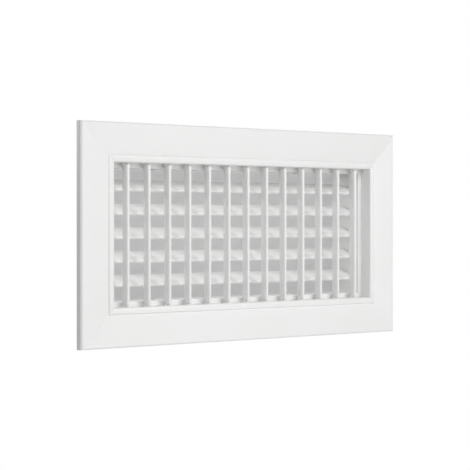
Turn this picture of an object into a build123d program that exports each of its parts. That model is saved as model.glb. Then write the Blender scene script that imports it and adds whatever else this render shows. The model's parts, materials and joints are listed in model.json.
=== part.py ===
from build123d import *
import os

# Double-deflection supply-air grille, in millimetres.
# X runs to the right along the grille's length, Z is up and the face looks towards -Y.
# The origin is the centre of the opening, in the plane of the flange's back edge (the wall).

# ---- driving dimensions: overall and flange ----
OVERALL_LENGTH = 305.0      # outside of the flange, along X
OVERALL_HEIGHT = 155.0      # outside of the flange, along Z
FLANGE_WIDTH = 27.5         # outer edge of the flange to the opening
FLANGE_DEPTH = 5.5          # flange face to the wall
PLATE_WALL = 1.6            # wall of the border extrusion
EDGE_BEVEL = 1.2            # bevel round the flange's outer front edge
BEAD_WIDTH = 4.4            # raised bead round the opening
BEAD_HEIGHT = 0.9           # how far the bead stands proud of the face
GROOVE_WIDTH = 1.0          # shallow groove outside the bead
GROOVE_DEPTH = 0.5
THROAT_DEPTH = 12.0         # throat wall behind the wall plane

# ---- driving dimensions: corner keys and gasket ----
KEY_WALL = 2.0              # thickness of a corner key
KEY_WIDTH = 9.0             # width of a corner key's leg
KEY_LEG = 30.0              # length of a corner key's leg
KEY_INSET = 12.0            # outer edge of the flange to the key
RIB_WALL = 1.0              # ribs that hold the key from the side
RIB_HEIGHT = 2.2
GASKET_WIDTH = 8.0
GASKET_INSET = 2.2          # outer edge of the flange to the gasket

# ---- driving dimensions: inner frame ----
LEDGE_WIDTH = 3.5           # step from the throat to the inner frame's airway
LEDGE_SETBACK = 9.3         # flange face to the ledge
CORE_WALL = 1.0             # sheet of the inner frame
NECK_DEPTH = 31.5           # wall plane to the back of the inner frame

# ---- driving dimensions: front blades, upright ----
FRONT_COUNT = 13
FRONT_MARGIN = 14.0         # end of the opening to the first and last pivots
FRONT_CHORD = 7.5
FRONT_PIVOT_BACK = 3.0      # nose to pivot
FRONT_HALF_THICKNESS = 1.6  # at the pivot
FRONT_NOSE_RADIUS = 1.3
FRONT_TAIL_RADIUS = 0.4
FRONT_SETBACK = 1.4         # flange face to the nose of a straight blade
FRONT_REST_ANGLE = -5.0     # about +Z, from straight ahead

# ---- driving dimensions: rear blades, level ----
REAR_COUNT = 5
REAR_CHORD = 15.0
REAR_PIVOT_BACK = 5.0
REAR_HALF_THICKNESS = 1.7
REAR_NOSE_RADIUS = 1.3
REAR_TAIL_RADIUS = 0.45
REAR_PIVOT_DEPTH = 13.0     # wall plane to the rear pivots
REAR_REST_ANGLE = 30.0      # about +X, tail up

# ---- driving dimensions: pivots ----
PIN_RADIUS = 1.0
PIN_CLEARANCE = 0.05        # radial, pin in bush
PIN_GRIP = 9.0              # pin inside the blade
PIN_SHORT = 0.2             # pin end inside the bush end
BUSH_RADIUS = 1.9           # barrel, and the hole it is pushed into
BUSH_HEAD_RADIUS = 2.7
BUSH_HEAD = 0.8
BUSH_BEYOND = 1.0           # barrel past the wall it is pushed through
END_GAP = 0.35              # blade end to bush head

# ---- driving dimensions: rivets and clips ----
RIVET_RADIUS = 1.2
RIVET_HEAD_RADIUS = 2.3
RIVET_HEAD = 0.8
RIVET_ROUND = 0.48          # rounding of a rivet's head
RIVET_TAIL_RADIUS = 1.7
RIVET_TAIL = 0.7
CUT_WALLS = 3               # length of a hole cutter, in walls it goes through
CORE_RIVET_BACK = 3.5       # end of the throat wall to the rivets
CORE_RIVET_INSET_LONG = 45.0   # end of the opening to the rivets, long sides
CORE_RIVET_INSET_SHORT = 22.0  # end of the opening to the rivets, short sides
CLIP_WALL = 0.8
CLIP_WIDTH = 12.0
CLIP_INSET = 55.0           # end of the opening to the clips
CLIP_BASE = 12.0            # flat foot of a clip, along Y
CLIP_RISE = 8.0             # how far the spring leg stands off its foot
CLIP_OVER = 1.2             # turn and leg past the ends of the foot
CLIP_TURN = 2.4             # height of the turn at the back
CLIP_LIP = 2.4              # grip lip at the leg's end, along Y and down
CLIP_BEND = 0.96            # bend radius at the middle of the strip
CLIP_BACK_GAP = 1.0         # clip to the inner frame's rear flange

# ---- worked out from the driving dimensions ----
OPENING_LENGTH = OVERALL_LENGTH - 2 * FLANGE_WIDTH
OPENING_HEIGHT = OVERALL_HEIGHT - 2 * FLANGE_WIDTH
FACE_Y = -FLANGE_DEPTH
PLATE_BACK_Y = FACE_Y + PLATE_WALL
LEDGE_Y = FACE_Y + LEDGE_SETBACK
FRONT_PIVOT_Y = FACE_Y + FRONT_SETBACK + FRONT_PIVOT_BACK
CORE_LENGTH = OPENING_LENGTH - 2 * LEDGE_WIDTH
CORE_HEIGHT = OPENING_HEIGHT - 2 * LEDGE_WIDTH
FRONT_PITCH = (OPENING_LENGTH - 2 * FRONT_MARGIN) / (FRONT_COUNT - 1)
REAR_PITCH = OPENING_HEIGHT / (REAR_COUNT + 1)
CORE_RIVET_Y = THROAT_DEPTH - CORE_RIVET_BACK
FRONT_X = [FRONT_PITCH * (i - (FRONT_COUNT - 1) / 2) for i in range(FRONT_COUNT)]
REAR_Z = [REAR_PITCH * (i - (REAR_COUNT - 1) / 2) for i in range(REAR_COUNT)]

# A frame side is drawn as the top one and turned about Y into its place.
SIDE_TURN = {"top": 0, "right": 90, "bottom": 180, "left": 270}


def save(name, shape):
    """Write one sub-part to parts/NAME.step."""
    shape.label = name
    export_step(shape, f"parts/{name}.step")


def group(solids):
    """Several separate solids kept in one node."""
    return Compound(children=list(solids))


def is_long(side):
    """True for the top and bottom sides, which run along X."""
    return side in ("top", "bottom")


def side_sizes(side, length, height):
    """Length of a side and its outer reach from the centre, from a rectangle's sizes."""
    return (length, height / 2) if is_long(side) else (height, length / 2)


def mitred(section, length, reach, depth):
    """Run a (Y, Z) section along X and cut both ends at 45 degrees, as the top side."""
    bar = Pos(-length / 2, 0, 0) * extrude(Plane.YZ * section, length)
    half = length / 2
    keep = Polyline(
        (-half, reach), (half, reach), (half - depth, reach - depth), (-half + depth, reach - depth),
        close=True,
    )
    wedge = extrude(Plane.XZ * make_face(keep), OVERALL_LENGTH, both=True)
    return bar & wedge


def border_section(reach):
    """Border extrusion: bevelled rim, flat plate, groove and bead, throat wall, key ribs."""
    inner = reach - FLANGE_WIDTH
    bead_outer = inner + BEAD_WIDTH
    groove_outer = bead_outer + GROOVE_WIDTH
    front = Polyline(
        (0, reach),
        (FACE_Y + EDGE_BEVEL, reach),
        (FACE_Y, reach - EDGE_BEVEL),
        (FACE_Y, groove_outer),
        (FACE_Y + GROOVE_DEPTH, bead_outer + GROOVE_WIDTH / 2),
        (FACE_Y, bead_outer),
    )
    bead = ThreePointArc(
        (FACE_Y, bead_outer), (FACE_Y - BEAD_HEIGHT, inner + BEAD_WIDTH / 2), (FACE_Y, inner)
    )
    back = Polyline(
        (FACE_Y, inner),
        (THROAT_DEPTH, inner),
        (THROAT_DEPTH, inner + PLATE_WALL),
        (PLATE_BACK_Y, inner + PLATE_WALL),
        (PLATE_BACK_Y, reach - PLATE_WALL),
        (0, reach - PLATE_WALL),
        (0, reach),
    )
    section = make_face([*front.edges(), bead, *back.edges()])
    for rib_outer in (reach - KEY_INSET + RIB_WALL, reach - KEY_INSET - KEY_WIDTH):
        rib = Rectangle(RIB_HEIGHT, RIB_WALL, align=(Align.MIN, Align.MAX))
        section += Pos(PLATE_BACK_Y, rib_outer) * rib
    return section


def along_side(side, places, shape):
    """Copies of a shape drawn at the top side, at places along it, turned into position."""
    placed = [Pos(x, 0, 0) * shape for x in places]
    return [Rot(0, SIDE_TURN[side], 0) * p for p in placed]


def border_side(side):
    """One mitred border extrusion with its bush and rivet holes."""
    length, reach = side_sizes(side, OVERALL_LENGTH, OVERALL_HEIGHT)
    depth = FLANGE_WIDTH + LEDGE_WIDTH
    bar = mitred(border_section(reach), length, reach, depth)
    inner = reach - FLANGE_WIDTH
    if is_long(side):
        for x in FRONT_X:
            bar -= Pos(x, FRONT_PIVOT_Y, inner) * Cylinder(BUSH_RADIUS, CUT_WALLS * PLATE_WALL)
    for x in core_rivet_places(side):
        bar -= Pos(x, CORE_RIVET_Y, inner) * Cylinder(RIVET_RADIUS, CUT_WALLS * PLATE_WALL)
    return Rot(0, SIDE_TURN[side], 0) * bar


def core_rivet_places(side):
    """Places of the two rivets along one side of the inner frame."""
    opening = OPENING_LENGTH if is_long(side) else OPENING_HEIGHT
    inset = CORE_RIVET_INSET_LONG if is_long(side) else CORE_RIVET_INSET_SHORT
    return [-(opening / 2 - inset), opening / 2 - inset]


def clip_places():
    """Places of the two spring clips along a long side."""
    return [-(OPENING_LENGTH / 2 - CLIP_INSET), OPENING_LENGTH / 2 - CLIP_INSET]


def clip_foot_y():
    """Y where a clip's flat foot starts and ends."""
    end = NECK_DEPTH - CORE_WALL - CLIP_BACK_GAP - CLIP_OVER - CLIP_WALL / 2
    return end - CLIP_BASE, end


def clip_rivet_y():
    """Y of the rivet through the middle of a clip's foot."""
    start, end = clip_foot_y()
    return (start + end) / 2


def core_section(opening_reach):
    """Inner frame: front lap against the throat, ledge, web and rear flange."""
    web_inner = opening_reach - LEDGE_WIDTH
    outline = Polyline(
        (LEDGE_Y, web_inner),
        (NECK_DEPTH, web_inner),
        (NECK_DEPTH, opening_reach + PLATE_WALL),
        (NECK_DEPTH - CORE_WALL, opening_reach + PLATE_WALL),
        (NECK_DEPTH - CORE_WALL, web_inner + CORE_WALL),
        (LEDGE_Y + CORE_WALL, web_inner + CORE_WALL),
        (LEDGE_Y + CORE_WALL, opening_reach - CORE_WALL),
        (THROAT_DEPTH, opening_reach - CORE_WALL),
        (THROAT_DEPTH, opening_reach),
        (LEDGE_Y, opening_reach),
        close=True,
    )
    return make_face(outline)


def core_side(side):
    """One side of the inner frame, mitred, with its rivet, clip and bush holes."""
    length, reach = side_sizes(side, OPENING_LENGTH, OPENING_HEIGHT)
    outer = PLATE_WALL
    depth = LEDGE_WIDTH + outer + CORE_WALL
    bar = mitred(core_section(reach), length + 2 * outer, reach + outer, depth)
    web = reach - LEDGE_WIDTH + CORE_WALL / 2
    for x in core_rivet_places(side):
        bar -= Pos(x, CORE_RIVET_Y, reach) * Cylinder(RIVET_RADIUS, CUT_WALLS * CORE_WALL)
    if is_long(side):
        for x in clip_places():
            bar -= Pos(x, clip_rivet_y(), web) * Cylinder(RIVET_RADIUS, CUT_WALLS * CORE_WALL)
    else:
        for x in REAR_Z:
            bar -= Pos(x, REAR_PIVOT_DEPTH, web) * Cylinder(BUSH_RADIUS, CUT_WALLS * CORE_WALL)
    return Rot(0, SIDE_TURN[side], 0) * bar


def corner_key(x_side, z_side):
    """L-shaped key in the plane behind the flange's plate, at one corner."""
    outer_x = OVERALL_LENGTH / 2 - KEY_INSET
    outer_z = OVERALL_HEIGHT / 2 - KEY_INSET
    outline = Polyline(
        (outer_x, outer_z),
        (outer_x - KEY_LEG, outer_z),
        (outer_x - KEY_LEG, outer_z - KEY_WIDTH),
        (outer_x - KEY_WIDTH, outer_z - KEY_WIDTH),
        (outer_x - KEY_WIDTH, outer_z - KEY_LEG),
        (outer_x, outer_z - KEY_LEG),
        close=True,
    )
    plate = extrude(Plane.XZ * make_face(outline), -KEY_WALL)
    key = Pos(0, PLATE_BACK_Y, 0) * plate
    if x_side < 0:
        key = mirror(key, Plane.YZ)
    if z_side < 0:
        key = mirror(key, Plane.XY)
    return key


def gasket_side(side):
    """Foam tape behind the flange, squeezed level with the wall; the long tapes run through."""
    length, reach = side_sizes(side, OVERALL_LENGTH, OVERALL_HEIGHT)
    short_end = 0 if is_long(side) else GASKET_WIDTH
    size = length - 2 * (GASKET_INSET + short_end)
    tape = Box(size, -PLATE_BACK_Y, GASKET_WIDTH, align=(Align.CENTER, Align.MIN, Align.MAX))
    return Rot(0, SIDE_TURN[side], 0) * (Pos(0, PLATE_BACK_Y, reach - GASKET_INSET) * tape)


def blade_section(chord, pivot_back, half_thickness, nose_radius, tail_radius):
    """Teardrop outline with its pivot at the origin and its nose towards -Y, as (X, Y)."""
    nose = Pos(0, nose_radius - pivot_back) * Circle(nose_radius)
    middle = Circle(half_thickness)
    tail = Pos(0, chord - pivot_back - tail_radius) * Circle(tail_radius)
    outline = make_hull([*nose.edges(), *middle.edges(), *tail.edges()])
    return outline - Circle(PIN_RADIUS)


def front_blade(x):
    """One upright blade, set at its rest angle, with its pin bore."""
    section = blade_section(
        FRONT_CHORD, FRONT_PIVOT_BACK, FRONT_HALF_THICKNESS, FRONT_NOSE_RADIUS, FRONT_TAIL_RADIUS
    )
    half = OPENING_HEIGHT / 2 - BUSH_HEAD - END_GAP
    blade = extrude(Rot(0, 0, FRONT_REST_ANGLE) * section, half, both=True)
    return Pos(x, FRONT_PIVOT_Y, 0) * blade


def rear_blade(z):
    """One level blade, set at its rest angle, with its pin bore."""
    section = blade_section(
        REAR_CHORD, REAR_PIVOT_BACK, REAR_HALF_THICKNESS, REAR_NOSE_RADIUS, REAR_TAIL_RADIUS
    )
    half = CORE_LENGTH / 2 - BUSH_HEAD - END_GAP
    blade = Rot(0, 90, 0) * extrude(section, half, both=True)
    return Pos(0, REAR_PIVOT_DEPTH, z) * (Rot(REAR_REST_ANGLE, 0, 0) * blade)


def pins(wall_inner, wall):
    """Two pins on the Z axis, one in each end of a blade between two walls."""
    blade_end = wall_inner - BUSH_HEAD - END_GAP
    top = wall_inner + wall + BUSH_BEYOND - PIN_SHORT
    length = top - blade_end + PIN_GRIP
    pin = Cylinder(PIN_RADIUS, length, align=(Align.CENTER, Align.CENTER, Align.MAX))
    upper = Pos(0, 0, top) * pin
    return [upper, Rot(180, 0, 0) * upper]


def bush(wall_inner, wall):
    """Headed bush on the Z axis, pushed out through a wall from the airway side."""
    bottom = (Align.CENTER, Align.CENTER, Align.MIN)
    head = Pos(0, 0, wall_inner - BUSH_HEAD) * Cylinder(BUSH_HEAD_RADIUS, BUSH_HEAD, align=bottom)
    barrel = Pos(0, 0, wall_inner) * Cylinder(BUSH_RADIUS, wall + BUSH_BEYOND, align=bottom)
    bore_length = 2 * (wall + BUSH_BEYOND + BUSH_HEAD)
    bore = Pos(0, 0, wall_inner) * Cylinder(PIN_RADIUS + PIN_CLEARANCE, bore_length)
    return head + barrel - bore


def rivet(head_z, grip):
    """Blind rivet on the Z axis: head above head_z, tail below the sheets it grips."""
    bottom = (Align.CENTER, Align.CENTER, Align.MIN)
    top = (Align.CENTER, Align.CENTER, Align.MAX)
    head = Pos(0, 0, head_z) * Cylinder(RIVET_HEAD_RADIUS, RIVET_HEAD, align=bottom)
    head = fillet(head.edges().group_by(Axis.Z)[-1], RIVET_ROUND)
    shank = Pos(0, 0, head_z) * Cylinder(RIVET_RADIUS, grip, align=top)
    tail = Pos(0, 0, head_z - grip) * Cylinder(RIVET_TAIL_RADIUS, RIVET_TAIL, align=top)
    return head + shank + tail


def spring_clip():
    """Bent strip at x = 0 on the top web: flat foot, turn at the back, sloping leg, grip lip."""
    web_outer = OPENING_HEIGHT / 2 - LEDGE_WIDTH + CORE_WALL
    start, end = clip_foot_y()
    low = web_outer + CLIP_WALL / 2
    middle_line = FilletPolyline(
        (start, low),
        (end + CLIP_OVER, low),
        (end + CLIP_OVER, low + CLIP_TURN),
        (start - CLIP_OVER, low + CLIP_RISE),
        (start - CLIP_OVER - CLIP_LIP, low + CLIP_RISE - CLIP_LIP),
        radius=CLIP_BEND,
    )
    strip = Plane.YZ * trace(middle_line, CLIP_WALL)
    clip = extrude(strip, CLIP_WIDTH / 2, both=True)
    return clip - Pos(0, clip_rivet_y(), web_outer) * Cylinder(RIVET_RADIUS, CUT_WALLS * CLIP_WALL)


os.makedirs("parts", exist_ok=True)

# Border frame, inner frame and gasket: one node for each side.
for side in SIDE_TURN:
    save(f"border_{side}", border_side(side))
    save(f"core_{side}", core_side(side))
    save(f"gasket_{side}", gasket_side(side))

save("corner_keys", group(corner_key(x, z) for x in (-1, 1) for z in (-1, 1)))

# Rivets through the throat wall and the inner frame's lap.
rivets = []
for side in SIDE_TURN:
    reach = side_sizes(side, OPENING_LENGTH, OPENING_HEIGHT)[1]
    core_rivet = Pos(0, CORE_RIVET_Y, 0) * rivet(reach + PLATE_WALL, PLATE_WALL + CORE_WALL)
    rivets += along_side(side, core_rivet_places(side), core_rivet)
save("core_rivets", group(rivets))

# Spring clips on the inner frame's long webs, each with one rivet through its foot.
clip_seat = OPENING_HEIGHT / 2 - LEDGE_WIDTH + CORE_WALL + CLIP_WALL
clip_rivet = Pos(0, clip_rivet_y(), 0) * rivet(clip_seat, CLIP_WALL + CORE_WALL)
clip_rivets = []
for side in ("top", "bottom"):
    left_clip, right_clip = along_side(side, clip_places(), spring_clip())
    if side == "bottom":
        left_clip, right_clip = right_clip, left_clip
    save(f"spring_clip_{side}_left", left_clip)
    save(f"spring_clip_{side}_right", right_clip)
    clip_rivets += along_side(side, clip_places(), clip_rivet)
save("clip_rivets", group(clip_rivets))

# Front row: upright blades, their pins and the bushes in the throat walls.
throat_inner = OPENING_HEIGHT / 2
for number, x in enumerate(FRONT_X, start=1):
    save(f"front_blade_{number:02d}", front_blade(x))
    front_pins = [Pos(x, FRONT_PIVOT_Y, 0) * p for p in pins(throat_inner, PLATE_WALL)]
    save(f"front_pivots_{number:02d}", group(front_pins))
front_bush = Pos(0, FRONT_PIVOT_Y, 0) * bush(throat_inner, PLATE_WALL)
for side in ("top", "bottom"):
    save(f"front_bushes_{side}", group(along_side(side, FRONT_X, front_bush)))

# Rear row: level blades, their pins and the bushes in the inner frame's short webs.
web_inner = CORE_LENGTH / 2
for number, z in enumerate(REAR_Z, start=1):
    save(f"rear_blade_{number}", rear_blade(z))
    rear_pins = [
        Pos(0, REAR_PIVOT_DEPTH, z) * (Rot(0, 90, 0) * p) for p in pins(web_inner, CORE_WALL)
    ]
    save(f"rear_pivots_{number}", group(rear_pins))
rear_bush = Pos(0, REAR_PIVOT_DEPTH, 0) * bush(web_inner, CORE_WALL)
for side in ("left", "right"):
    save(f"rear_bushes_{side}", group(along_side(side, REAR_Z, rear_bush)))
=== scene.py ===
import cmath
import json
import math

import bpy
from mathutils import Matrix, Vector


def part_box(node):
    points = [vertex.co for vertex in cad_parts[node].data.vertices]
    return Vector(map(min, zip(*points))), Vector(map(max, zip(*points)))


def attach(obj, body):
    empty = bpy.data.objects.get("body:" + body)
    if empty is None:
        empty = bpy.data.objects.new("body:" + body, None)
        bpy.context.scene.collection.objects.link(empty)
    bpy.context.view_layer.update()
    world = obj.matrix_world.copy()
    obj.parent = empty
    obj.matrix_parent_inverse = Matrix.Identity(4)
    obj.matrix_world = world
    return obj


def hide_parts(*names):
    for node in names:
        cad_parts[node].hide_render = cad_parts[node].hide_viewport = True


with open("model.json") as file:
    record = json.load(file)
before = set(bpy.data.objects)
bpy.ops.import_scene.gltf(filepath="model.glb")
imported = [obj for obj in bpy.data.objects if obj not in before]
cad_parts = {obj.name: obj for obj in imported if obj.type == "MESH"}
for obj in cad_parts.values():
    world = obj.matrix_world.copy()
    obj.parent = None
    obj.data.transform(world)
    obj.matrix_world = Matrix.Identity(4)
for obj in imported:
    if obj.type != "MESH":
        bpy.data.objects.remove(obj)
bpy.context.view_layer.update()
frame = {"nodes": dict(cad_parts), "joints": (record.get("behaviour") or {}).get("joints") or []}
nodes = frame["nodes"]
joints = frame["joints"]
MM = 0.001

# ---------------------------------------------------------------------------------------------
# The view: a long lens at the height of the grille's middle, from the left of its face,
# so that the flange narrows to the right and the upright blades show their left sides.
# ---------------------------------------------------------------------------------------------
LENS_MM = 129.4
SENSOR_MM = 36
CAMERA_PLACE = (-0.8247, -0.9258, 0.0091)
CAMERA_YAW = math.radians(-41.34)
CAMERA_TILT = math.radians(89.55)

bpy.ops.object.select_all(action="DESELECT")
bpy.ops.object.camera_add(location=CAMERA_PLACE, rotation=(CAMERA_TILT, 0, CAMERA_YAW))
camera = bpy.context.object
camera.name = "camera"
camera.data.lens = LENS_MM
camera.data.sensor_width = SENSOR_MM
bpy.context.scene.camera = camera

# ---------------------------------------------------------------------------------------------
# The studio: white all round, a pale floor well below the grille, two large soft lights high in
# front, a weak one low in front, one behind and one at the right, and a grey card of painted shade,
# a little self-lit as painted glow, that fills the neck's rear end where a duct's shaded inside
# would be. Floor and card are each seen only from one side.
# ---------------------------------------------------------------------------------------------
LIGHTS = {
    "right_light": {"place": (0.4, -1.15, 0.95), "size": 0.8, "power": 9.8},
    "left_light": {"place": (-0.6, -1.2, 0.6), "size": 0.8, "power": 5.2},
    "low_light": {"place": (0.2, -0.9, -0.28), "size": 0.7, "power": 2.2},
    "back_light": {"place": (-0.5, 1.2, 0.7), "size": 1.0, "power": 6},
    "side_light": {"place": (1.3, 0.3, 0.3), "size": 0.6, "power": 2.6},
}
WHITE = (1, 1, 1, 1)
WORLD_FILL = 0.23
FLOOR_DROP = 0.37
FLOOR_RADIUS = 1.0
FLOOR_SIDES = 96
FLOOR_GREY = 0.90
FLOOR_GLOW = 0.07
FLOOR_ROUGHNESS = 0.7
CARD_GAP = 1.0 * MM
# The card's grey and glow are painted shade and painted glow, set for the shaded inside of a duct
# seen through the grille.
SHADE_CARD_GREY = 0.68
SHADE_CARD_ROUGHNESS = 0.8
SHADE_CARD_GLOW = 0.12


class Wire:
    """One output in a shader tree. Arithmetic on it adds Math nodes; make() adds any other node."""

    def __init__(self, tree, socket):
        self.tree = tree
        self.socket = socket

    def make(self, kind, settings=None, inputs=None, output=0):
        """Add a node: its settings first, then the values or wires of its sockets."""
        node = self.tree.nodes.new(kind)
        for key, value in (settings or {}).items():
            setattr(node, key, value)
        for key, value in (inputs or {}).items():
            if isinstance(value, Wire):
                self.tree.links.new(value.socket, node.inputs[key])
            else:
                node.inputs[key].default_value = value
        return Wire(self.tree, node.outputs[output])

    def math(self, operation, first, second):
        """A Math node on two wires or numbers."""
        return self.make("ShaderNodeMath", {"operation": operation}, {0: first, 1: second})

    def __add__(self, other):
        return self.math("ADD", self, other)

    def __radd__(self, other):
        return self.math("ADD", other, self)

    def __mul__(self, other):
        return self.math("MULTIPLY", self, other)

    def __rmul__(self, other):
        return self.math("MULTIPLY", other, self)

    def noise(self, scale, detail=2.0, stretch=(1, 1, 1)):
        """Noise on these coordinates, from 0 to 1 with its middle at 0.5."""
        mapped = self.make("ShaderNodeMapping", None, {"Vector": self, "Scale": stretch})
        return self.make(
            "ShaderNodeTexNoise", None, {"Vector": mapped, "Scale": scale, "Detail": detail}
        )

    def cells(self, scale, output):
        """Voronoi cells on these coordinates: the Color of each, or the Distance to its middle."""
        return self.make(
            "ShaderNodeTexVoronoi", {"feature": "F1"}, {"Vector": self, "Scale": scale}, output
        )

    def blend(self, low, high):
        """A colour between two colours, by this wire."""
        return self.make(
            "ShaderNodeMix", {"data_type": "RGBA"}, {"Factor": self, 6: low, 7: high}, output=2
        )

    def mix_shaders(self, first, second):
        """The first shader where this wire is 0 and the second where it is 1."""
        return self.make("ShaderNodeMixShader", None, {"Fac": self, 1: first, 2: second})

    def bump(self, strength, distance):
        """A normal from this wire taken as a height."""
        return self.make(
            "ShaderNodeBump", None, {"Height": self, "Strength": strength, "Distance": distance}
        )


def feed(node, socket, wire):
    """Link a wire to one of a node's sockets."""
    wire.tree.links.new(wire.socket, node.inputs[socket])


for name, light in LIGHTS.items():
    bpy.ops.object.light_add(type="AREA", location=light["place"])
    lamp = bpy.context.object
    lamp.name = name
    lamp.data.size = light["size"]
    lamp.data.energy = light["power"]
    lamp.visible_camera = False
    lamp.rotation_euler = (-Vector(light["place"])).to_track_quat("-Z", "Y").to_euler()

scene = bpy.context.scene
scene.view_settings.view_transform = "Standard"
scene.world = bpy.data.worlds.new("studio")
scene.world.use_nodes = True
sky = scene.world.node_tree
sky.nodes["Background"].inputs["Color"].default_value = WHITE
seen = Wire(sky, sky.nodes["Background"].outputs["Background"])
fill = seen.make("ShaderNodeBackground", None, {"Color": WHITE, "Strength": WORLD_FILL})
camera_ray = seen.make("ShaderNodeLightPath", output="Is Camera Ray")
feed(sky.nodes["World Output"], "Surface", camera_ray.mix_shaders(fill, seen))


def one_way_paint(name, grey, glow, roughness):
    """A plain stage paint, a little lit from itself, that is clear from behind."""
    material = bpy.data.materials.new(name)
    material.use_nodes = True
    tree = material.node_tree
    shader = tree.nodes["Principled BSDF"]
    shader.inputs["Base Color"].default_value = (grey, grey, grey, 1)
    shader.inputs["Roughness"].default_value = roughness
    shader.inputs["Emission Color"].default_value = WHITE
    shader.inputs["Emission Strength"].default_value = glow
    front = Wire(tree, shader.outputs["BSDF"])
    clear = front.make("ShaderNodeBsdfTransparent")
    from_behind = front.make("ShaderNodeNewGeometry", output="Backfacing")
    feed(tree.nodes["Material Output"], "Surface", from_behind.mix_shaders(front, clear))
    return material


bpy.ops.mesh.primitive_circle_add(
    vertices=FLOOR_SIDES, radius=FLOOR_RADIUS, fill_type="NGON", location=(0, 0, -FLOOR_DROP)
)
floor = bpy.context.object
floor.name = "floor"
floor.data.materials.append(one_way_paint("floor_white", FLOOR_GREY, FLOOR_GLOW, FLOOR_ROUGHNESS))

# The card behind the neck is painted shade: a flat grey sheet with a little painted glow, where a
# duct's shaded inside would be. It casts no shadow.
neck_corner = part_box("core_top")[1]
bpy.ops.object.select_all(action="DESELECT")
bpy.ops.mesh.primitive_plane_add(
    size=1, location=(0, neck_corner[1] + CARD_GAP, 0), rotation=(math.pi / 2, 0, 0)
)
shade_card = bpy.context.object
shade_card.name = "painted_shade_card"
shade_card.scale = (2 * neck_corner[0], 2 * neck_corner[2], 1)
bpy.ops.object.transform_apply(location=True, rotation=True, scale=True)
shade_card.visible_shadow = False
shade_card.data.materials.append(one_way_paint("painted_shade_grey", SHADE_CARD_GREY, SHADE_CARD_GLOW, SHADE_CARD_ROUGHNESS))

# ---------------------------------------------------------------------------------------------
# Border frame: four lengths of one aluminium extrusion, mitred at the corners, each with a
# bevelled rim, a flat face, a groove and a round bead next to the opening, and a throat wall
# behind it. White powder coat, a little orange-peeled.
# ---------------------------------------------------------------------------------------------
FLANGE_WIDTH = 27.5 * MM
FLANGE_DEPTH = 5.5 * MM
PLATE_WALL = 1.6 * MM
EDGE_BEVEL = 1.2 * MM
BEAD_WIDTH = 4.4 * MM
BEAD_HEIGHT = 0.9 * MM
BEAD_STEPS = 12
GROOVE_WIDTH = 1.0 * MM
GROOVE_DEPTH = 0.5 * MM
RIB_WALL = 1.0 * MM
RIB_HEIGHT = 2.2 * MM
KEY_INSET = 12.0 * MM
KEY_WIDTH = 9.0 * MM
SOFT_EDGE = 0.1 * MM
MITRE_GAP = 0.03 * MM
SHARP_FROM = math.radians(35)
SMOOTH_TO = math.radians(40)
COAT_CREAM = (0.855, 0.855, 0.845, 1)
COAT_WHITE = (0.885, 0.885, 0.885, 1)
COAT_GLOSS = 0.12
COAT_GLOSS_ROUGHNESS = 0.22
COAT_ROUGHNESS = 0.36
COAT_CLOUD_ROUGHNESS = 0.08
COAT_SPECK_ROUGHNESS = 0.06
COAT_BUMP = 0.5
COAT_BUMP_HEIGHT = 0.05 * MM
PEEL_SCALE = 950
PEEL_SHARE = 0.7
RIPPLE_SCALE = 260
RIPPLE_SHARE = 0.5
SPECK_SCALE = 2600
SPECK_SHARE = 0.15
CLOUD_SCALE = 14
SIDE_TURN = {"top": 0, "right": 90, "bottom": 180, "left": 270}


def new_material(name, metallic=0.0, coat=0.0):
    """A material with its Principled shader, and a wire of its object coordinates in metres."""
    material = bpy.data.materials.new(name)
    material.use_nodes = True
    shader = material.node_tree.nodes["Principled BSDF"]
    shader.inputs["Metallic"].default_value = metallic
    shader.inputs["Coat Weight"].default_value = coat
    place = material.node_tree.nodes.new("ShaderNodeTexCoord")
    return material, shader, Wire(material.node_tree, place.outputs["Object"])


def powder_coat(name):
    """White powder coat: fine orange peel over a slower ripple, a faint cream cloud, even satin."""
    material, shader, place = new_material(name, coat=COAT_GLOSS)
    shader.inputs["Coat Roughness"].default_value = COAT_GLOSS_ROUGHNESS
    cloud = place.noise(CLOUD_SCALE, detail=3)
    speck = place.noise(SPECK_SCALE, detail=1)
    peel = place.noise(PEEL_SCALE, detail=2)
    ripple = place.noise(RIPPLE_SCALE, detail=1)
    feed(shader, "Base Color", cloud.blend(COAT_CREAM, COAT_WHITE))
    uneven = cloud * COAT_CLOUD_ROUGHNESS
    feed(shader, "Roughness", COAT_ROUGHNESS + uneven + speck * COAT_SPECK_ROUGHNESS)
    height = peel * PEEL_SHARE + ripple * RIPPLE_SHARE + speck * SPECK_SHARE
    feed(shader, "Normal", height.bump(COAT_BUMP, COAT_BUMP_HEIGHT))
    return material


def pick(piece):
    """Make a piece the only one selected, and the active one."""
    bpy.ops.object.select_all(action="DESELECT")
    piece.select_set(True)
    bpy.context.view_layer.objects.active = piece


def paint(piece, material):
    """Give a piece one material all over."""
    piece.data.materials.clear()
    piece.data.materials.append(material)


def finished(piece, name, material, body, node):
    """Put a piece's place into its mesh, name and paint it, and let it stand for its CAD node.
    A material is named for its slot, and Blender may have added a dot and a number."""
    pick(piece)
    bpy.ops.object.transform_apply(location=True, rotation=True, scale=True)
    piece.name = name
    piece.data.name = name
    paint(piece, material)
    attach(piece, body)
    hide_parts(node)


def soften(piece, width, segments=2):
    """Round a piece's sharp edges by a small bevel and shade it smooth between them."""
    pick(piece)
    edge = piece.modifiers.new("edge", "BEVEL")
    edge.width = width
    edge.segments = segments
    edge.limit_method = "ANGLE"
    edge.angle_limit = SHARP_FROM
    edge.use_clamp_overlap = True
    bpy.ops.object.modifier_apply(modifier=edge.name)
    bpy.ops.object.shade_smooth_by_angle(angle=SMOOTH_TO)


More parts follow.
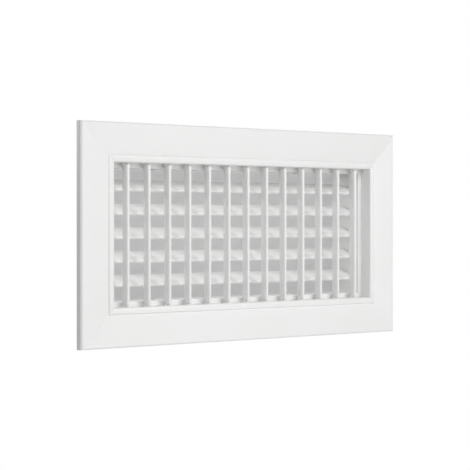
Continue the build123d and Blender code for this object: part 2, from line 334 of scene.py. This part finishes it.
def bar(outline, length):
    """A straight bar along X with the (y, z) outline as its section, as a filled ring extruded."""
    bpy.ops.object.select_all(action="DESELECT")
    bpy.ops.mesh.primitive_circle_add(vertices=len(outline), fill_type="NGON")
    piece = bpy.context.object
    for vertex, (y, z) in zip(piece.data.vertices, outline):
        vertex.co = (-length / 2, y, z)
    bpy.ops.object.mode_set(mode="EDIT")
    bpy.ops.mesh.select_all(action="SELECT")
    bpy.ops.mesh.extrude_region_move(TRANSFORM_OT_translate={"value": (length, 0, 0)})
    bpy.ops.mesh.select_all(action="SELECT")
    bpy.ops.mesh.normals_make_consistent(inside=False)
    bpy.ops.object.mode_set(mode="OBJECT")
    return piece


def cut_mitres(piece, length, reach):
    """Cut both ends of a bar at 45 degrees through its outer corners."""
    bpy.ops.object.mode_set(mode="EDIT")
    for end in (-1, 1):
        bpy.ops.mesh.select_all(action="SELECT")
        bpy.ops.mesh.bisect(
            plane_co=(end * (length / 2 - MITRE_GAP), 0, reach),
            plane_no=(end, 0, -1),
            use_fill=True,
            clear_outer=True,
        )
    bpy.ops.object.mode_set(mode="OBJECT")


def side_reach(side, box_of_top, box_of_right):
    """Length of a frame side and its outer reach, from the top and right sides' boxes."""
    if side in ("top", "bottom"):
        return 2 * box_of_top[1][0], box_of_top[1][2]
    return 2 * box_of_top[1][2], box_of_right[1][0]


def border_outline(reach):
    """Section of the border extrusion as (y, z) points, from the wall round the front and back."""
    face = -FLANGE_DEPTH
    inner = reach - FLANGE_WIDTH
    middle = inner + BEAD_WIDTH / 2
    plate_back = face + PLATE_WALL
    outer_rib = reach - KEY_INSET + RIB_WALL
    inner_rib = reach - KEY_INSET - KEY_WIDTH
    bead = []
    for step in range(BEAD_STEPS + 1):
        turn = math.pi * step / BEAD_STEPS
        bead.append((face - BEAD_HEIGHT * math.sin(turn), middle + BEAD_WIDTH / 2 * math.cos(turn)))
    return [
        (0, reach),
        (face + EDGE_BEVEL, reach),
        (face, reach - EDGE_BEVEL),
        (face, inner + BEAD_WIDTH + GROOVE_WIDTH),
        (face + GROOVE_DEPTH, inner + BEAD_WIDTH + GROOVE_WIDTH / 2),
        *bead,
        (throat_back, inner),
        (throat_back, inner + PLATE_WALL),
        (plate_back, inner + PLATE_WALL),
        (plate_back, inner_rib - RIB_WALL),
        (plate_back + RIB_HEIGHT, inner_rib - RIB_WALL),
        (plate_back + RIB_HEIGHT, inner_rib),
        (plate_back, inner_rib),
        (plate_back, outer_rib - RIB_WALL),
        (plate_back + RIB_HEIGHT, outer_rib - RIB_WALL),
        (plate_back + RIB_HEIGHT, outer_rib),
        (plate_back, outer_rib),
        (plate_back, reach - PLATE_WALL),
        (0, reach - PLATE_WALL),
    ]


throat_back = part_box("border_top")[1][1]
frame_coat = powder_coat("white_powder_coat")
for side, turn in SIDE_TURN.items():
    length, reach = side_reach(side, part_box("border_top"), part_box("border_right"))
    piece = bar(border_outline(reach), length)
    cut_mitres(piece, length, reach)
    soften(piece, SOFT_EDGE)
    piece.rotation_euler = (0, math.radians(turn), 0)
    finished(piece, f"border_{side}_extrusion", frame_coat, "frame", f"border_{side}")

# ---------------------------------------------------------------------------------------------
# Corner keys: L-shaped zinc-plated plates pushed between the ribs behind the flange, one in
# each corner. Their shape is plain and stays as drawn; only the plated finish is added.
# ---------------------------------------------------------------------------------------------
KEY_GREY = (0.60, 0.61, 0.62, 1)
KEY_PALE = (0.72, 0.72, 0.70, 1)
SPANGLE_SCALE = 420
SPANGLE_SHARE = 0.6
KEY_GRAIN_SCALE = 1800
KEY_GRAIN_SHARE = 0.4
KEY_ROUGHNESS = 0.34
SPANGLE_ROUGHNESS = 0.14
KEY_GRAIN_ROUGHNESS = 0.06
KEY_BUMP = 0.25
KEY_BUMP_HEIGHT = 0.03 * MM

key_zinc, shader, place = new_material("key_zinc", metallic=1.0)
spangles = place.cells(SPANGLE_SCALE, "Color")
spangle = spangles.make("ShaderNodeSeparateColor", None, {"Color": spangles}, "Red")
grain = place.noise(KEY_GRAIN_SCALE, detail=2)
mottle = spangle * SPANGLE_SHARE + grain * KEY_GRAIN_SHARE
feed(shader, "Base Color", mottle.blend(KEY_GREY, KEY_PALE))
uneven = spangle * SPANGLE_ROUGHNESS
feed(shader, "Roughness", KEY_ROUGHNESS + uneven + grain * KEY_GRAIN_ROUGHNESS)
feed(shader, "Normal", grain.bump(KEY_BUMP, KEY_BUMP_HEIGHT))
paint(nodes["corner_keys"], key_zinc)

# ---------------------------------------------------------------------------------------------
# Inner frame: four mitred lengths of a folded aluminium channel set back in the throat. Its
# front step is the narrow ledge seen round the opening; its webs carry the rear blades.
# ---------------------------------------------------------------------------------------------
LEDGE_WIDTH = 3.5 * MM
LEDGE_SETBACK = 9.3 * MM
SHEET = 1.0 * MM
FOLD_EDGE = 0.1 * MM


def channel_outline(reach):
    """Section of the inner frame's channel as (y, z) points."""
    opening = reach - PLATE_WALL
    web = opening - LEDGE_WIDTH
    ledge = LEDGE_SETBACK - FLANGE_DEPTH
    back = neck_corner[1]
    return [
        (ledge, web),
        (back, web),
        (back, reach),
        (back - SHEET, reach),
        (back - SHEET, web + SHEET),
        (ledge + SHEET, web + SHEET),
        (ledge + SHEET, opening - SHEET),
        (throat_back, opening - SHEET),
        (throat_back, opening),
        (ledge, opening),
    ]


for side, turn in SIDE_TURN.items():
    length, reach = side_reach(side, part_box("core_top"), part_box("core_right"))
    piece = bar(channel_outline(reach), length)
    cut_mitres(piece, length, reach)
    soften(piece, FOLD_EDGE)
    piece.rotation_euler = (0, math.radians(turn), 0)
    finished(piece, f"core_{side}_channel", frame_coat, "frame", f"core_{side}")

# ---------------------------------------------------------------------------------------------
# Inner frame rivets: bright aluminium blind rivets through the throat wall, each with a low
# domed head, a pierced middle where the mandrel snapped off, and a squeezed tail inside.
# ---------------------------------------------------------------------------------------------
HEAD_RADIUS = 2.3 * MM
HEAD_HEIGHT = 0.8 * MM
SHANK_RADIUS = 1.2 * MM
TAIL_RADIUS = 1.7 * MM
TAIL_HEIGHT = 0.7 * MM
MANDREL_RADIUS = 0.65 * MM
MANDREL_LEVEL = 0.35
DOME_CURVE = ((0.6, 0.93), (0.87, 0.62), (1, 0.2), (1, 0))
TAIL_CURVE = ((0.9, 0), (1, 0.4), (0.7, 0.9), (0, 1))
RIVET_SET_BACK = 3.5 * MM
LONG_SIDE_INSET = 45.0 * MM
SHORT_SIDE_INSET = 22.0 * MM
SPIN_STEPS = 28
MERGE_WITHIN = 0.001 * MM
RIVET_GREY = (0.66, 0.66, 0.67, 1)
RIVET_BRIGHT = (0.80, 0.80, 0.80, 1)
HAMMER_SCALE = 1500
RIVET_ROUGHNESS = 0.26
HAMMER_ROUGHNESS = 0.16
RIVET_BUMP = 0.2
RIVET_BUMP_HEIGHT = 0.03 * MM


def turned(profile):
    """A turned piece on the Z axis: a ring of (radius, z) points spun once round."""
    bpy.ops.object.select_all(action="DESELECT")
    bpy.ops.mesh.primitive_circle_add(vertices=len(profile), fill_type="NOTHING")
    piece = bpy.context.object
    for vertex, (radius, z) in zip(piece.data.vertices, profile):
        vertex.co = (radius, 0, z)
    bpy.ops.object.mode_set(mode="EDIT")
    bpy.ops.mesh.select_all(action="SELECT")
    bpy.ops.mesh.spin(steps=SPIN_STEPS, angle=2 * math.pi, center=(0, 0, 0), axis=(0, 0, 1))
    bpy.ops.mesh.select_all(action="SELECT")
    bpy.ops.mesh.remove_doubles(threshold=MERGE_WITHIN)
    bpy.ops.mesh.delete_loose(use_verts=True, use_edges=True, use_faces=False)
    bpy.ops.mesh.select_all(action="SELECT")
    bpy.ops.mesh.normals_make_consistent(inside=False)
    bpy.ops.object.mode_set(mode="OBJECT")
    bpy.ops.object.shade_smooth_by_angle(angle=SHARP_FROM)
    return piece


def rivet(seat, grip):
    """A set blind rivet: its head stands on z = seat, its tail is below the sheets it grips.
    The curves give the dome and the tail as shares of their radius and height."""
    mandrel = seat + MANDREL_LEVEL * HEAD_HEIGHT
    tail = seat - grip
    return turned([
        (0, mandrel),
        (MANDREL_RADIUS, mandrel),
        (MANDREL_RADIUS, seat + HEAD_HEIGHT),
        *((out * HEAD_RADIUS, seat + up * HEAD_HEIGHT) for out, up in DOME_CURVE),
        (SHANK_RADIUS, seat),
        (SHANK_RADIUS, tail),
        *((out * TAIL_RADIUS, tail - down * TAIL_HEIGHT) for out, down in TAIL_CURVE),
    ])


def copies_as_one(model, places):
    """Copies of a model, each moved by (x, y, z) and then turned about Y, joined in one piece."""
    made = []
    for offset, turn in places:
        pick(model)
        bpy.ops.object.duplicate(linked=False)
        copy = bpy.context.object
        copy.location = offset
        bpy.ops.object.transform_apply(location=True, rotation=False, scale=False)
        copy.rotation_euler = (0, math.radians(turn), 0)
        bpy.ops.object.transform_apply(location=False, rotation=True, scale=False)
        made.append(copy)
    bpy.ops.object.select_all(action="DESELECT")
    for copy in made:
        copy.select_set(True)
    bpy.context.view_layer.objects.active = made[0]
    bpy.ops.object.join()
    bpy.data.objects.remove(model)
    return bpy.context.object


rivet_aluminium, shader, place = new_material("rivet_aluminium", metallic=1.0)
hammer = place.noise(HAMMER_SCALE, detail=2)
feed(shader, "Base Color", hammer.blend(RIVET_GREY, RIVET_BRIGHT))
feed(shader, "Roughness", RIVET_ROUGHNESS + hammer * HAMMER_ROUGHNESS)
feed(shader, "Normal", hammer.bump(RIVET_BUMP, RIVET_BUMP_HEIGHT))

opening_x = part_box("border_right")[1][0] - FLANGE_WIDTH
opening_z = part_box("border_top")[1][2] - FLANGE_WIDTH
rivet_y = throat_back - RIVET_SET_BACK
places = []
for side, turn in SIDE_TURN.items():
    long_side = side in ("top", "bottom")
    along = opening_x - LONG_SIDE_INSET if long_side else opening_z - SHORT_SIDE_INSET
    stand_off = 0 if long_side else opening_x - opening_z
    places += [((x, rivet_y, stand_off), turn) for x in (-along, along)]
rivets = copies_as_one(rivet(opening_z + PLATE_WALL, PLATE_WALL + SHEET), places)
finished(rivets, "core_rivets_set", rivet_aluminium, "frame", "core_rivets")

# ---------------------------------------------------------------------------------------------
# Front bushes: natural nylon, with a thin round head in the airway and a barrel snapped out
# through the throat wall; the front pins turn in them. Thirteen above and thirteen below.
# ---------------------------------------------------------------------------------------------
BUSH_BORE = 1.05 * MM
BUSH_BARREL = 1.9 * MM
BUSH_HEAD = 2.7 * MM
BUSH_HEAD_HEIGHT = 0.8 * MM
BUSH_BEYOND = 1.0 * MM
BUSH_ROUND = 0.25 * MM
NYLON_CREAM = (0.80, 0.79, 0.74, 1)
NYLON_PALE = (0.88, 0.87, 0.84, 1)
NYLON_DEPTHS = (1.2 * MM, 1.0 * MM, 0.8 * MM)
NYLON_GLOW_THROUGH = 0.25
FLOW_SCALE = 500
FLOW_STRETCH = (1, 1, 0.4)
NYLON_ROUGHNESS = 0.38
FLOW_ROUGHNESS = 0.16
NYLON_BUMP = 0.25
NYLON_BUMP_HEIGHT = 0.04 * MM

nylon, shader, place = new_material("nylon")
shader.inputs["Subsurface Weight"].default_value = NYLON_GLOW_THROUGH
shader.inputs["Subsurface Radius"].default_value = NYLON_DEPTHS
shader.inputs["Subsurface Scale"].default_value = 1.0
flow = place.noise(FLOW_SCALE, detail=3, stretch=FLOW_STRETCH)
feed(shader, "Base Color", flow.blend(NYLON_CREAM, NYLON_PALE))
feed(shader, "Roughness", NYLON_ROUGHNESS + flow * FLOW_ROUGHNESS)
feed(shader, "Normal", flow.bump(NYLON_BUMP, NYLON_BUMP_HEIGHT))


def bush(wall_face, wall):
    """A bush on the Z axis: its head under z = wall_face, its barrel through and past the wall."""
    head = wall_face - BUSH_HEAD_HEIGHT
    end = wall_face + wall + BUSH_BEYOND
    return turned([
        (BUSH_BORE, head),
        (BUSH_HEAD - BUSH_ROUND, head),
        (BUSH_HEAD, head + BUSH_ROUND),
        (BUSH_HEAD, wall_face),
        (BUSH_BARREL, wall_face),
        (BUSH_BARREL, end - BUSH_ROUND),
        (BUSH_BARREL - BUSH_ROUND, end),
        (BUSH_BORE, end),
    ])


front_pivots = [j["pos_m"] for j in joints if j["name"].startswith("front_turn")]
rear_pivots = [j["pos_m"] for j in joints if j["name"].startswith("rear_tilt")]
for side in ("top", "bottom"):
    places = [((x, y, 0), SIDE_TURN[side]) for x, y, z in front_pivots]
    bushes = copies_as_one(bush(opening_z, PLATE_WALL), places)
    finished(bushes, f"front_bushes_{side}_set", nylon, "frame", f"front_bushes_{side}")

# ---------------------------------------------------------------------------------------------
# Front blades: thirteen upright lengths of a small teardrop extrusion, cut square, coated
# white and set a few degrees off straight. Each turns on the two pins pressed into its ends.
# ---------------------------------------------------------------------------------------------
FRONT_CIRCLES = ((-1.7 * MM, 1.3 * MM), (0, 1.6 * MM), (4.1 * MM, 0.4 * MM))
FRONT_SET = math.radians(-5)
BLADE_SIDES = 56
BLADE_EDGE = 0.12 * MM


def blade(circles, length):
    """A teardrop bar on the Z axis: a cylinder whose sides move out to the tightest band round
    circles on its chord, each given as (y of its centre, radius)."""
    bpy.ops.object.select_all(action="DESELECT")
    bpy.ops.mesh.primitive_cylinder_add(vertices=BLADE_SIDES, radius=1, depth=length)
    piece = bpy.context.object
    for vertex in piece.data.vertices:
        out_x, out_y = vertex.co.x, vertex.co.y
        centre, radius = max(circles, key=lambda c: c[0] * out_y + c[1])
        vertex.co.x = radius * out_x
        vertex.co.y = centre + radius * out_y
    soften(piece, BLADE_EDGE)
    return piece


blade_coat = powder_coat("white_powder_coat_blades")
for number, pivot in enumerate(front_pivots, start=1):
    name = f"front_blade_{number:02d}"
    low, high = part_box(name)
    piece = blade(FRONT_CIRCLES, high[2] - low[2])
    piece.rotation_euler = (0, 0, FRONT_SET)
    piece.location = pivot
    finished(piece, f"{name}_coated", blade_coat, f"front_vane_{number:02d}", name)

# ---------------------------------------------------------------------------------------------
# Pivot pins: zinc-plated steel, pressed into both ends of every blade and turning in the
# bushes. They are plain round pins and stay as drawn, with a fine drawn-wire finish.
# ---------------------------------------------------------------------------------------------
PIN_GREY = (0.52, 0.53, 0.54, 1)
PIN_PALE = (0.70, 0.70, 0.70, 1)
STREAK_SCALE = 1200
STREAK_STRETCH = (1, 1, 0.08)
PIN_ROUGHNESS = 0.24
STREAK_ROUGHNESS = 0.18
PIN_BUMP = 0.15
PIN_BUMP_HEIGHT = 0.02 * MM

pin_steel, shader, place = new_material("pin_steel", metallic=1.0)
streak = place.noise(STREAK_SCALE, detail=2, stretch=STREAK_STRETCH)
feed(shader, "Base Color", streak.blend(PIN_GREY, PIN_PALE))
feed(shader, "Roughness", PIN_ROUGHNESS + streak * STREAK_ROUGHNESS)
feed(shader, "Normal", streak.bump(PIN_BUMP, PIN_BUMP_HEIGHT))
for name, node in nodes.items():
    if "_pivots_" in name:
        paint(node, pin_steel)

# ---------------------------------------------------------------------------------------------
# Rear bushes: the same nylon bushes, five in each short web of the inner frame, with their
# barrels standing out behind the web.
# ---------------------------------------------------------------------------------------------
web_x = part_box("core_right")[1][0] - PLATE_WALL - LEDGE_WIDTH
for side in ("left", "right"):
    sign = 1 if side == "right" else -1
    places = [((-sign * z, y, 0), SIDE_TURN[side]) for x, y, z in rear_pivots]
    bushes = copies_as_one(bush(web_x, SHEET), places)
    finished(bushes, f"rear_bushes_{side}_set", nylon, "frame", f"rear_bushes_{side}")

# ---------------------------------------------------------------------------------------------
# Rear blades: five level lengths of a deeper teardrop extrusion, nose down and tail up, that
# send the air downwards. They turn on pins in the inner frame's short webs.
# ---------------------------------------------------------------------------------------------
REAR_CIRCLES = ((-3.7 * MM, 1.3 * MM), (0, 1.7 * MM), (9.55 * MM, 0.45 * MM))
REAR_SET = math.radians(30)

for number, pivot in enumerate(rear_pivots, start=1):
    name = f"rear_blade_{number}"
    low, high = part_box(name)
    piece = blade(REAR_CIRCLES, high[0] - low[0])
    piece.rotation_euler = (0, math.radians(90), 0)
    bpy.ops.object.transform_apply(location=False, rotation=True, scale=False)
    piece.rotation_euler = (REAR_SET, 0, 0)
    piece.location = pivot
    finished(piece, f"{name}_coated", blade_coat, f"rear_vane_{number}", name)

# ---------------------------------------------------------------------------------------------
# Gasket: self-adhesive closed-cell foam tape, cut square and stuck behind the flange, with
# the short tapes between the long ones. Squeezed level with the wall edge.
# ---------------------------------------------------------------------------------------------
FOAM_EDGE = 0.7 * MM
FOAM_EDGE_STEPS = 4
FOAM_BLACK = (0.045, 0.045, 0.048, 1)
FOAM_GREY = (0.13, 0.13, 0.135, 1)
CELL_SCALE = 1500
CELL_SHARE = 0.5
PATCH_SCALE = 60
PATCH_SHARE = 0.5
FOAM_ROUGHNESS = 0.80
PATCH_ROUGHNESS = 0.15
FOAM_BUMP = 0.7
FOAM_BUMP_HEIGHT = 0.12 * MM

foam_tape, shader, place = new_material("foam_tape")
cells = place.cells(CELL_SCALE, "Distance")
patches = place.noise(PATCH_SCALE, detail=3)
mottle = cells * CELL_SHARE + patches * PATCH_SHARE
feed(shader, "Base Color", mottle.blend(FOAM_BLACK, FOAM_GREY))
feed(shader, "Roughness", FOAM_ROUGHNESS + patches * PATCH_ROUGHNESS)
feed(shader, "Normal", cells.bump(FOAM_BUMP, FOAM_BUMP_HEIGHT))
for side in SIDE_TURN:
    low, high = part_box(f"gasket_{side}")
    size = Vector(high) - Vector(low)
    long_side = side in ("top", "bottom")
    length, width = (size.x, size.z) if long_side else (size.z, size.x)
    outline = [(y * size.y / 2, z * width / 2) for y, z in ((-1, -1), (1, -1), (1, 1), (-1, 1))]
    tape = bar(outline, length)
    soften(tape, FOAM_EDGE, FOAM_EDGE_STEPS)
    tape.rotation_euler = (0, 0 if long_side else math.radians(90), 0)
    tape.location = (Vector(low) + Vector(high)) / 2
    finished(tape, f"gasket_{side}_tape", foam_tape, "frame", f"gasket_{side}")

# ---------------------------------------------------------------------------------------------
# Spring clips: stainless strip, bent to a flat foot, a turn at the back and a leg that slopes
# out to a grip lip. The leg presses in as the neck is pushed into its collar. Two up, two down.
# ---------------------------------------------------------------------------------------------
CLIP_WALL = 0.8 * MM
CLIP_WIDTH = 12.0 * MM
CLIP_INSET = 55.0 * MM
CLIP_BASE = 12.0 * MM
CLIP_RISE = 8.0 * MM
CLIP_OVER = 1.2 * MM
CLIP_TURN = 2.4 * MM
CLIP_LIP = 2.4 * MM
CLIP_BEND = 0.96 * MM
CLIP_BACK_GAP = 1.0 * MM
CLIP_EDGE = 0.15 * MM
BEND_STEPS = 7
STRIP_GREY = (0.50, 0.50, 0.51, 1)
STRIP_PALE = (0.68, 0.68, 0.68, 1)
BRUSH_SCALE = 1400
BRUSH_STRETCH = (1, 0.05, 1)
STRIP_ROUGHNESS = 0.22
BRUSH_ROUGHNESS = 0.20
STRIP_BUMP = 0.2
STRIP_BUMP_HEIGHT = 0.02 * MM


def strip_outline(corners, radius, wall):
    """Outline of a bent strip as (y, z) points: its mid-line's corners, as y + 1j * z, are
    rounded and the line is set off by half the wall to both sides."""
    headings = [cmath.phase(after - before) for before, after in zip(corners, corners[1:])]
    track = [(corners[0], headings[0])]
    for corner, start, end in zip(corners[1:], headings, headings[1:]):
        turn = math.remainder(end - start, 2 * math.pi)
        side = math.copysign(radius, turn)
        begin = corner - cmath.rect(radius * math.tan(abs(turn) / 2), start)
        centre = begin + 1j * cmath.rect(side, start)
        for step in range(BEND_STEPS + 1):
            heading = start + turn * step / BEND_STEPS
            track.append((centre - 1j * cmath.rect(side, heading), heading))
    track.append((corners[-1], headings[-1]))
    left = [point + 1j * cmath.rect(wall / 2, heading) for point, heading in track]
    right = [point - 1j * cmath.rect(wall / 2, heading) for point, heading in track]
    return [(point.real, point.imag) for point in left + right[::-1]]


spring_steel, shader, place = new_material("spring_steel", metallic=1.0)
brushed = place.noise(BRUSH_SCALE, detail=3, stretch=BRUSH_STRETCH)
feed(shader, "Base Color", brushed.blend(STRIP_GREY, STRIP_PALE))
feed(shader, "Roughness", STRIP_ROUGHNESS + brushed * BRUSH_ROUGHNESS)
feed(shader, "Normal", brushed.bump(STRIP_BUMP, STRIP_BUMP_HEIGHT))

web_outer = opening_z - LEDGE_WIDTH + SHEET
foot_z = web_outer + CLIP_WALL / 2
foot_end = neck_corner[1] - SHEET - CLIP_BACK_GAP - CLIP_OVER - CLIP_WALL / 2
foot_start = foot_end - CLIP_BASE
corners = [
    complex(foot_start, foot_z),
    complex(foot_end + CLIP_OVER, foot_z),
    complex(foot_end + CLIP_OVER, foot_z + CLIP_TURN),
    complex(foot_start - CLIP_OVER, foot_z + CLIP_RISE),
    complex(foot_start - CLIP_OVER - CLIP_LIP, foot_z + CLIP_RISE - CLIP_LIP),
]
clip_x = opening_x - CLIP_INSET
for row in ("top", "bottom"):
    for hand in ("left", "right"):
        clip = bar(strip_outline(corners, CLIP_BEND, CLIP_WALL), CLIP_WIDTH)
        soften(clip, CLIP_EDGE)
        clip.location = (-clip_x if (hand == "left") == (row == "top") else clip_x, 0, 0)
        bpy.ops.object.transform_apply(location=True, rotation=False, scale=False)
        clip.rotation_euler = (0, math.radians(SIDE_TURN[row]), 0)
        name = f"spring_clip_{row}_{hand}"
        finished(clip, f"{name}_strip", spring_steel, "frame", name)

# ---------------------------------------------------------------------------------------------
# Clip rivets: the same blind rivets, one through the middle of each clip's foot and the web.
# Their heads are outside, under the sloping legs.
# ---------------------------------------------------------------------------------------------
clip_rivet_y = (foot_start + foot_end) / 2
places = []
for row in ("top", "bottom"):
    places += [((x, clip_rivet_y, 0), SIDE_TURN[row]) for x in (-clip_x, clip_x)]
rivets = copies_as_one(rivet(web_outer + CLIP_WALL, CLIP_WALL + SHEET), places)
finished(rivets, "clip_rivets_set", rivet_aluminium, "frame", "clip_rivets")
